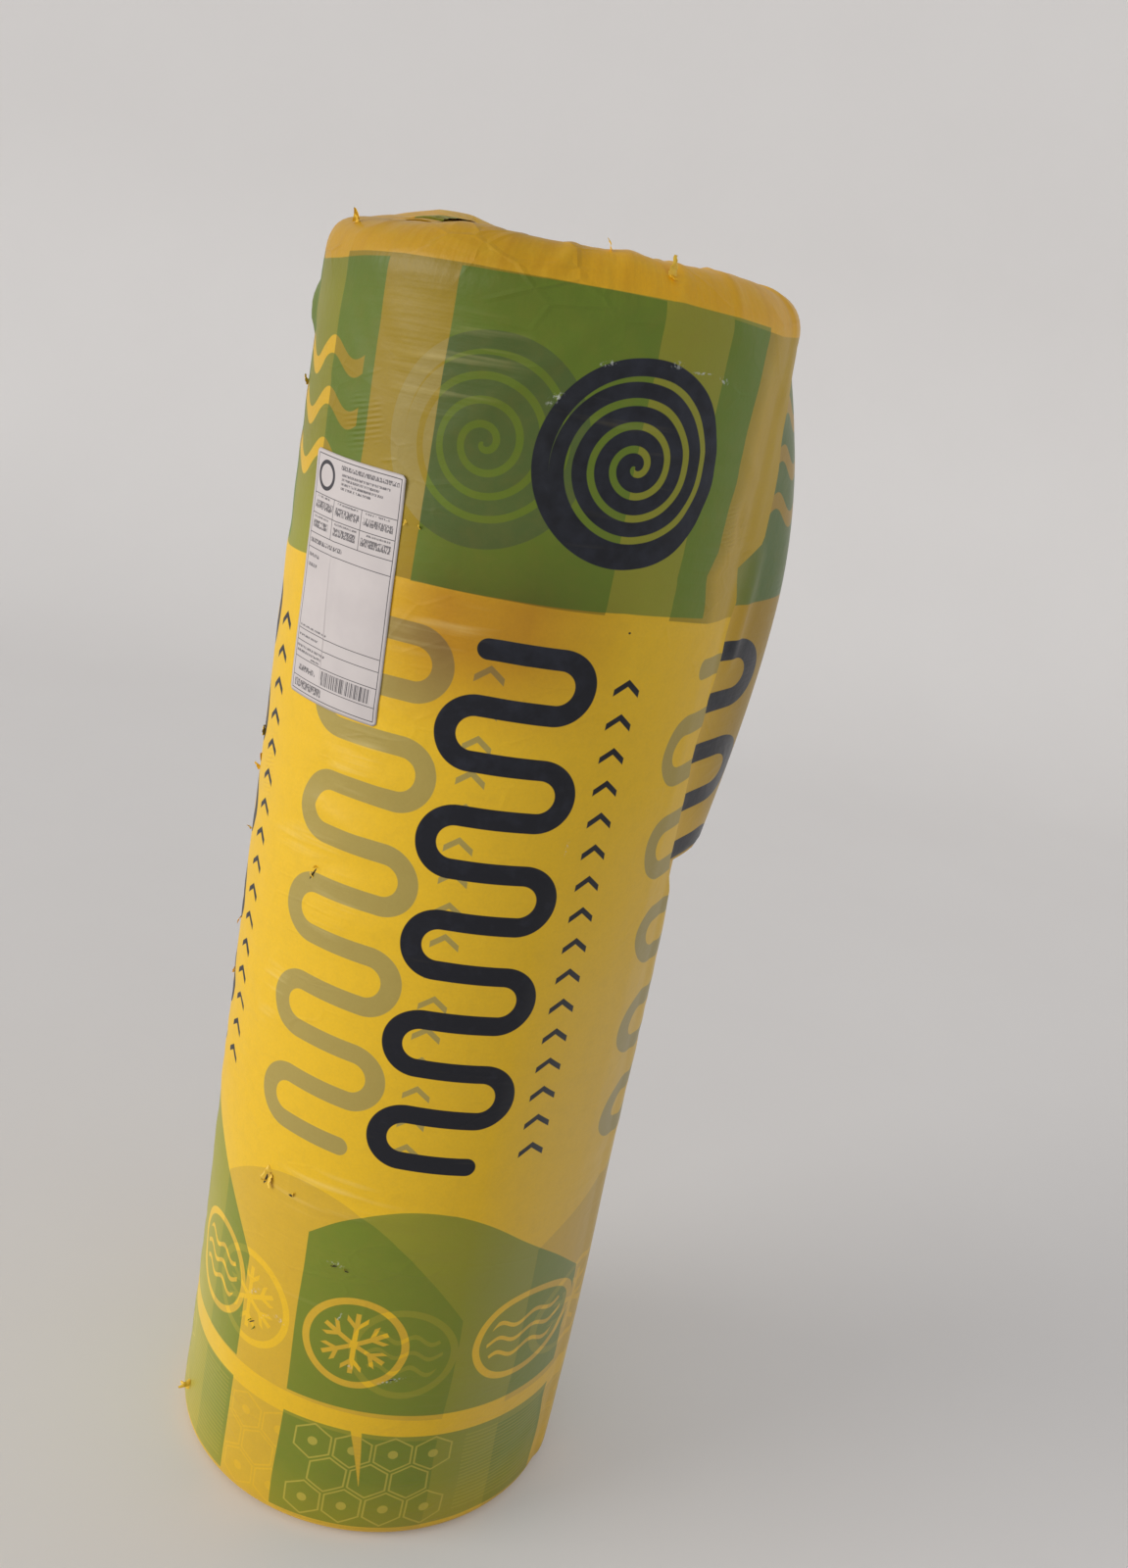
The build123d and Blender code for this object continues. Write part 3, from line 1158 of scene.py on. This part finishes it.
def makeWoolTree(sizes):
    # the path runs along the outer face of the mat, and the inner face is one turn further in
    tree, m, given = startTree("woundMat", sizes)
    spiral = m.add("GeometryNodeCurveSpiral", None, {
        "Resolution": 200, "Rotations": given["Turns"], "Height": 0.0, "Start Radius": given["Eye"] + 0.003,
        "End Radius": given["Eye"] + given["Pitch"] * given["Turns"]})["Curve"]
    turned = m.add("GeometryNodeTransform", None, {"Geometry": spiral, "Rotation": (0.0, 0.0, math.pi)})[0]
    path = m.add("GeometryNodeResampleCurve", {"mode": "LENGTH"}, {
        "Curve": turned, "Length": given["Step"]})[0]
    ring = m.add("GeometryNodeCurvePrimitiveCircle", {"mode": "RADIUS"}, {
        "Resolution": given["Section points"], "Radius": 0.001})[0]
    mat = m.add("GeometryNodeCurveToMesh", None, {
        "Curve": remembered(m, path, "outerFace", placeOf(m)),
        "Profile Curve": remembered(m, ring, "sectionPlace", placeOf(m)),
        "Fill Caps": True})[0]

    c, s, _ = axesOf(m, recalled(m, "sectionPlace"))
    c, s = c * 1000.0, s * 1000.0
    across = c.calc("SIGN", c) * abs(c) ** 0.85 * 0.5 + 0.5
    tall = s.calc("SIGN", s) * abs(s) ** given["Squareness"] * given["Height"] * 0.5
    x, y, _ = axesOf(m, recalled(m, "outerFace"))
    outer = largest(reach(x, y), 0.001)
    inner = smallest(largest(outer - given["Pitch"], given["Eye"]), given["Radius"] - 0.002)
    held = inner + (smallest(outer, given["Radius"]) - inner) * across
    rim = given["Rim"]
    intoRim = largest(held - (given["Radius"] - rim), 0.0)
    drop = rim - root(largest(rim * rim - intoRim * intoRim, 0.0))
    limit = given["Height"] * 0.5 - drop
    level = smallest(largest(tall, -limit), limit) + given["Height"] * 0.5 + 0.002
    share = held / outer
    pressed = moved(m, mat, combine(m, x * share, y * share, level))

    normal = m.add("GeometryNodeInputNormal")[0]
    spot = placeOf(m)
    slow = noise(m, spot, 42.0, 2.0)
    quick = noise(m, spot, 260.0, 3.0)
    inward = (slow - 0.75) * given["Lump"] * 2.0 + (quick - 0.7) * given["Fuzz"] * 2.0
    offset = m.add("ShaderNodeVectorMath", {"operation": "SCALE"}, {0: normal, "Scale": inward})[0]
    rough = m.add("GeometryNodeSetPosition", None, {"Geometry": pressed, "Offset": offset})[0]
    for name in ("outerFace", "sectionPlace"):
        rough = m.add("GeometryNodeRemoveAttribute", None, {"Geometry": rough, "Name": name})[0]
    endTree(m, rough, given["Material"])
    return tree


def chance(m, low, high, seed):         # random turns about three axes
    sockets = {0: low, 1: high, "Seed": seed}
    return m.add("FunctionNodeRandomValue", {"data_type": "FLOAT_VECTOR"}, sockets)[0]


def turnedBy(m, rotation, turn):
    settings = {"rotation_space": "LOCAL"}
    return m.add("FunctionNodeRotateRotation", settings, {0: rotation, 1: turn})[0]


def makeFibreTree(sizes):
    tree, m, given = startTree("looseFibres", sizes)
    normal = m.add("GeometryNodeInputNormal")[0]
    upright = abs(axesOf(m, normal)[2])
    x, y, _ = axesOf(m, placeOf(m))
    onEnds = (upright > 0.35) * (reach(x, y) < given["Reach"])
    scattered = m.add("GeometryNodeDistributePointsOnFaces", None, {
        "Mesh": given["Geometry"], "Selection": onEnds, "Density": given["Density"], "Seed": given["Seed"]})
    bend = m.add("GeometryNodeCurveQuadraticBezier", None, {
        "Resolution": 4, "Start": (0.0, 0.0, -0.1), "Middle": (0.35, 0.0, 0.4), "End": (0.1, 0.35, 0.9)})[0]
    hair = m.add("GeometryNodeCurvePrimitiveCircle", {"mode": "RADIUS"}, {
        "Resolution": 3, "Radius": 0.012})[0]
    fibre = m.add("GeometryNodeCurveToMesh", None, {"Curve": bend, "Profile Curve": hair})[0]
    tilt = chance(m, (-1.1, -1.1, 0.0), (1.1, 1.1, 6.28), given["Seed"])
    turned = turnedBy(m, scattered["Rotation"], tilt)
    size = m.add("FunctionNodeRandomValue", {"data_type": "FLOAT"}, {
        2: 0.4, 3: 1.0, "Seed": given["Seed"]})[1]
    placed = m.add("GeometryNodeInstanceOnPoints", None, {
        "Points": scattered["Points"], "Instance": fibre,
        "Rotation": turned, "Scale": size * given["Length"]})[0]
    endTree(m, onFloor(m, placed), given["Material"])
    return tree


def makeWoolMaterial():
    material, m = newMaterial("glassWool")
    place = m.add("ShaderNodeTexCoord")["Object"]
    slow = noise(m, place, 30.0, 3.0)
    strands = noise(m, place, 260.0, 6.0, Roughness=0.75, Distortion=1.2)
    colour = blended(clamped(slow * 1.6 - 0.3), tone(216, 182, 80), tone(238, 210, 122))
    colour = blended(sloped(strands, 0.45, 3.0), colour, tone(250, 232, 164))
    height = strands * 0.0020 + slow * 0.0030
    bump = bumped(m, height, 0.9)
    finishMaterial(m, {
        "Base Color": colour, "Roughness": 0.95, "Normal": bump,
        "Sheen Weight": 0.25, "Sheen Roughness": 0.5})
    return material


woolMaterial = makeWoolMaterial()
woolSizes = {
    "Pitch": roll["turnPitch"], "Eye": roll["eye"], "Turns": wool["turns"], "Step": wool["pathStep"],
    "Section points": wool["sectionPoints"], "Squareness": wool["squareness"],
    "Height": roll["height"] - wool["endGap"], "Radius": roll["wool"] - wool["sideGap"],
    "Rim": roll["topRim"], "Lump": wool["lump"], "Fuzz": wool["fuzz"],
    "Material": woolMaterial,
}
woolPiece = grown(emptyPiece("wool_turns"), makeWoolTree(woolSizes), woolSizes)
fibreSizes = {
    "Reach": roll["opening"] + 0.004, "Density": wool["fibresPerArea"], "Length": wool["fibreLength"],
    "Seed": wool["seed"], "Material": woolMaterial,
}
fibrePiece = emptyPiece("wool_fibres")
fibrePiece.data = woolPiece.data.copy()
fibrePiece = grown(fibrePiece, makeFibreTree(fibreSizes), fibreSizes)
print("wool:", len(woolPiece.data.polygons), "faces, fibres:", len(fibrePiece.data.polygons))


# Scraps of film that stand up along the edge, beside the tears and at the foot

scraps = {
    "seed": 9,
    "spots": [
        # azimuth, place across the film, how far it leans upwards, length
        (-65, 1.1958, 9, 0.013),
        (-64, 1.1975, 4, 0.007),
        (10, 1.215, 9, 0.01),
        (25, 1.2011, 9, 0.015),
        (24.2, 1.2, -1, 0.008),
        (-79, 1.058, 1.6, 0.009),
        (-78.5, 0.748, 2, 0.011),
        (-80, 0.728, -2, 0.011),
        (-81, 0.712, 1.2, 0.008),
        (-82, 0.65, 2.5, 0.008),
        (-82, 0.56, -2, 0.009),
        (-82, 0.5, 2, 0.009),
        (-39, 0.376, -0.4, 0.012),
        (-38.6, 0.37, -0.8, 0.014),
        (-40.2, 0.36, 0.5, 0.008),
        (-30, 0.363, 0.6, 0.0055),
        (-38.6, 0.672, 0.8, 0.0065),
        (-37.7, 0.683, -0.5, 0.0055),
        (-14.8, 0.3115, -0.8, 0.005),
        (-11.5, 0.309, 0.7, 0.005),
        (-37.8, 0.208, 0.5, 0.005),
        (-36, 0.203, -0.5, 0.0045),
        (-23, 0.987, 0.5, 0.005),
        (-26.5, 0.99, -0.6, 0.005),
        (-67.5, 0.048, -0.5, 0.014),
        (-68, 0.04, 0.2, 0.012),
    ],
}


def makeScrapTree(sizes):
    tree, m, given = startTree("filmScraps", sizes)
    points = m.add("GeometryNodeMeshToPoints", None, {"Mesh": given["Geometry"], "Radius": 0.001})[0]
    strip = m.add("GeometryNodeMeshGrid", None, {
        "Size X": 0.42, "Size Y": 1.06, "Vertices X": 5, "Vertices Y": 9})[0]
    spot = placeOf(m)
    x, y, _ = axesOf(m, spot)
    y = y + 0.5
    uneven = noise(m, spot, 3.0, 1.0) - 0.5
    curl = y * y * 0.34 + uneven * 0.5 + x * x * 1.2
    curled = moved(m, strip, combine(m, x * (1.25 - y * 0.85) + uneven * 0.30, y - y * y * 0.16, curl))
    along = m.add("FunctionNodeAlignRotationToVector", {"axis": "Y"}, {"Vector": recalled(m, "facing")})[0]
    turned = turnedBy(m, along, chance(m, (-0.3, -3.1, -0.3), (0.3, 3.1, 0.3), given["Seed"]))
    placed = m.add("GeometryNodeInstanceOnPoints", None, {
        "Points": points, "Instance": curled, "Rotation": turned, "Scale": recalled(m, "size", "FLOAT")})[0]
    endTree(m, onFloor(m, placed), given["Material"])
    return tree


def makeScrapMaterial():
    material, m = newMaterial("filmScrap")
    place = m.add("ShaderNodeTexCoord")["Object"]
    level = axesOf(m, place)[2]
    cloud = noise(m, place, 160.0, 3.0)
    # as green as the print is where the scraps are: height, half height, how green
    greens = ((1.112, 0.020, 1.0), (0.206, 0.010, 1.0), (0.309, 0.006, 0.7))
    isGreen = largest(*[inked(abs(level - up) - half, 0.004) * share for up, half, share in greens])
    colour = blended(isGreen, tone(240, 196, 58), tone(112, 142, 48))
    colour = blended(sloped(cloud, 0.45, 0.9), colour, tone(196, 158, 44))
    bump = bumped(m, cloud * 0.0006, 0.5)
    finishMaterial(m, {
        "Base Color": colour, "Roughness": 0.36 + cloud * 0.1, "Normal": bump})
    return material


def makeScraps():
    points, facings, sizes = [], [], []
    for azimuth, width, lean, size in scraps["spots"]:
        points.append(filmPoint(np.array([azimuth + 360.0]), np.array([width]))[0])
        facings.append(onRoll(0.7, azimuth, lean))
        sizes.append(size)
    piece = meshFrom("film_scraps", points, [])
    facing = piece.data.attributes.new("facing", "FLOAT_VECTOR", "POINT")
    facing.data.foreach_set("vector", np.array(facings, dtype=np.float32).ravel())
    size = piece.data.attributes.new("size", "FLOAT", "POINT")
    size.data.foreach_set("value", np.array(sizes, dtype=np.float32))
    given = {"Seed": scraps["seed"], "Material": makeScrapMaterial()}
    return grown(piece, makeScrapTree(given), given)


scrapPiece = makeScraps()
print("scraps:", len(scrapPiece.data.polygons), "faces")


# Label

label = {
    "azimuth": -42.4,
    "level": 0.921,
    "width": 0.105,
    "height": 0.202,
    "corner": 0.003,
    "turn": 1.5,
    "thickness": 0.00025,
    "lift": 0.0006,
    "step": 0.0025,
    # rows of strokes in millimetres: height, half height, middle, half width
    "smallRows": [
        (87, 1, 13, 26), (83.5, 1, 8, 21), (80, 1, 10, 23),
        (76.5, 1, 4, 17), (64, 0.8, -35, 10), (64, 0.8, -2, 12),
        (64, 0.8, 30, 12), (47.5, 0.8, -35, 11), (47.5, 0.8, -2, 13),
        (47.5, 0.8, 33, 12), (16, 1.4, -39, 8), (8, 1.4, -40, 7),
        (-43, 0.8, -28, 19), (-51, 0.9, -33, 14), (-60.5, 1, -28, 20),
        (-64.5, 1, -30, 18), (-68, 0.8, -20, 6),
    ],
    "boldRows": [
        (92.5, 1.8, 16, 31), (57.5, 3.2, -33, 13), (57.5, 3.2, -2, 14),
        (57.5, 3, 31, 15), (41.5, 3, -35, 11), (41.5, 3.2, -3, 13),
        (41.5, 3.2, 31, 15), (28, 1.8, -25, 22), (-78, 2.4, -30, 12),
        (-91.5, 3.4, -27, 19),
    ],
}


def rowsOf(x, y, rows):
    shapes = []
    for row in rows:
        level, halfTall, middle, halfLong = [value * 0.001 for value in row]
        shapes.append(boxInk(x - middle, y - level, halfLong, halfTall))
    return smallest(*shapes)


def makeLabelMaterial():
    material, m = newMaterial("labelPaper")
    flat = m.add("ShaderNodeUVMap", {"uv_map": "flat"})["UV"]
    x, y, _ = axesOf(m, flat)
    halfWide, halfTall = label["width"] / 2, label["height"] / 2
    margin, thin = 0.0035, 0.0003
    lines = [abs(boxInk(x, y, halfWide - margin, halfTall - margin)) - 0.00035]
    for level in (0.066, 0.050, 0.034, 0.022, -0.046, -0.056, -0.070, -0.086):
        lines.append(boxInk(x, y - level, halfWide - margin, thin))
    for across in (-0.019, 0.014):
        lines.append(boxInk(x - across, y - 0.050, thin, 0.016))
    ink = inked(smallest(*lines), 0.0004)

    # rows of grey strokes that say nothing, in small and in bold
    small = stretched(m, flat, (1400.0, 320.0, 1.0))
    strokes = noise(m, small, 1.0, 1.0)
    large = stretched(m, flat, (620.0, 230.0, 1.0))
    bold = noise(m, large, 1.0, 1.0)
    smallRows = rowsOf(x, y, label["smallRows"])
    boldRows = rowsOf(x, y, label["boldRows"])
    greyed = inked(smallRows, 0.0003) * sloped(strokes, 0.43, 14.0)
    greyed = largest(greyed, inked(boldRows, 0.0003) * clamped((0.16 - abs(bold - 0.5)) * 20.0 - 0.9))

    bars = stretched(m, flat, (900.0, 0.0, 1.0))
    widths = noise(m, bars, 1.0, 0.0)
    inCode = inked(boxInk(x - 0.017, y + 0.078, 0.027, 0.0060), 0.0003)
    code = inCode * sloped(widths, 0.48, 30.0)
    ring = abs(reach(x + 0.034, y - 0.082) - 0.0105) - 0.0016
    mark = inked(ring, 0.0004)

    cloud = noise(m, flat, 30.0, 4.0)
    grain = noise(m, flat, 900.0, 2.0)
    paper = blended(cloud, tone(206, 197, 194), tone(188, 179, 178))
    colour = blended(largest(ink, greyed * 0.8, code * 0.9, mark), paper, tone(52, 48, 54))
    # a crease across the label, bumped in, with painted shade along it
    crease = abs(x + 0.014 + y * 0.04 + (cloud - 0.5) * 0.002)
    creased = inked(crease - 0.0006, 0.0016) * inked(abs(y + 0.025) - 0.050, 0.03) * clamped(0.7 - y * 9.0)
    colour = blended(creased * 0.6, colour, tone(128, 118, 120))
    edge = inked(-(boxInk(x, y, halfWide, halfTall) + 0.0012), 0.0012)
    colour = blended(edge * 0.35, colour, tone(150, 138, 120))
    height = cloud * 0.0006 + grain * 0.00006 - creased * 0.0004
    bump = bumped(m, height, 0.6)
    finishMaterial(m, {
        "Base Color": colour, "Roughness": 0.52 + cloud * 0.15, "Normal": bump})
    return material


def makeLabel(material):
    halfWide, halfTall, corner = label["width"] / 2, label["height"] / 2, label["corner"]
    columns = int(label["width"] / label["step"])
    rowsUp = int(label["height"] / label["step"])
    xs = np.linspace(-halfWide, halfWide, columns + 1)
    ys = np.linspace(-halfTall, halfTall, rowsUp + 1)
    gx, gy = np.meshgrid(xs, ys)
    # rounds the corners by drawing the outermost rows in
    near = beyond(np.abs(gy), halfTall - corner)
    shrink = (halfWide - corner + np.sqrt(np.clip(corner**2 - near**2, 0, None))) / halfWide
    gx = gx * shrink
    turn = math.radians(label["turn"])
    across = gx * math.cos(turn) - gy * math.sin(turn)
    up = gx * math.sin(turn) + gy * math.cos(turn)
    azimuth = label["azimuth"] + np.degrees(across / roll["radius"])
    level = label["level"] + up
    base = filmPoint(azimuth + 360, level)
    fromAxis = np.hypot(base[..., 0], base[..., 1])
    crease = 0.0007 * bell(gx + 0.012 + gy * 0.03, 0, 0.003) * (np.abs(gy + 0.01) < 0.07)
    curl = 0.0014 * (eased(gx, 0.040, 0.0525) * eased(gy, 0.075, 0.101))
    wave = 0.0003 * roundNoise(azimuth, level, 5, 0.02, 71)
    lift = label["lift"] + crease + curl + wave
    sheets = []
    for extra in (label["thickness"], 0.0):
        sheets.append((base * ((fromAxis + lift + extra) / fromAxis)[..., None]).reshape(-1, 3))
    for sheet in sheets:
        sheet[:, 2] = level.ravel()
    points = np.concatenate(sheets)
    count = (columns + 1) * (rowsUp + 1)
    faces = []
    for j in range(rowsUp):
        for i in range(columns):
            a = j * (columns + 1) + i
            b, c, d = a + 1, a + columns + 2, a + columns + 1
            faces.append((a, b, c, d))
            faces.append((a + count, d + count, c + count, b + count))
    edge = list(range(columns))
    edge += [j * (columns + 1) + columns for j in range(rowsUp)]
    edge += [rowsUp * (columns + 1) + i for i in range(columns, 0, -1)]
    edge += [j * (columns + 1) for j in range(rowsUp, 0, -1)]
    for a, b in zip(edge, edge[1:] + edge[:1]):
        faces.append((b, a, a + count, b + count))
    uv = np.stack([gx.ravel(), gy.ravel()], -1)
    piece = meshFrom("paper_label", points, faces, np.concatenate([uv, uv]))
    piece.data.materials.append(material)
    return piece


labelPiece = makeLabel(makeLabelMaterial())
print("label:", len(labelPiece.data.polygons), "faces")


# Hand over

slots = {"film": (filmPiece, scrapPiece), "wool": (woolPiece, fibrePiece), "label": (labelPiece,)}
for slotName, pieces in slots.items():
    for piece in pieces:
        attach(piece, "root")
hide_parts("wrap_film")
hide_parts("wool_mat")
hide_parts("product_label")

print("pieces handed over")
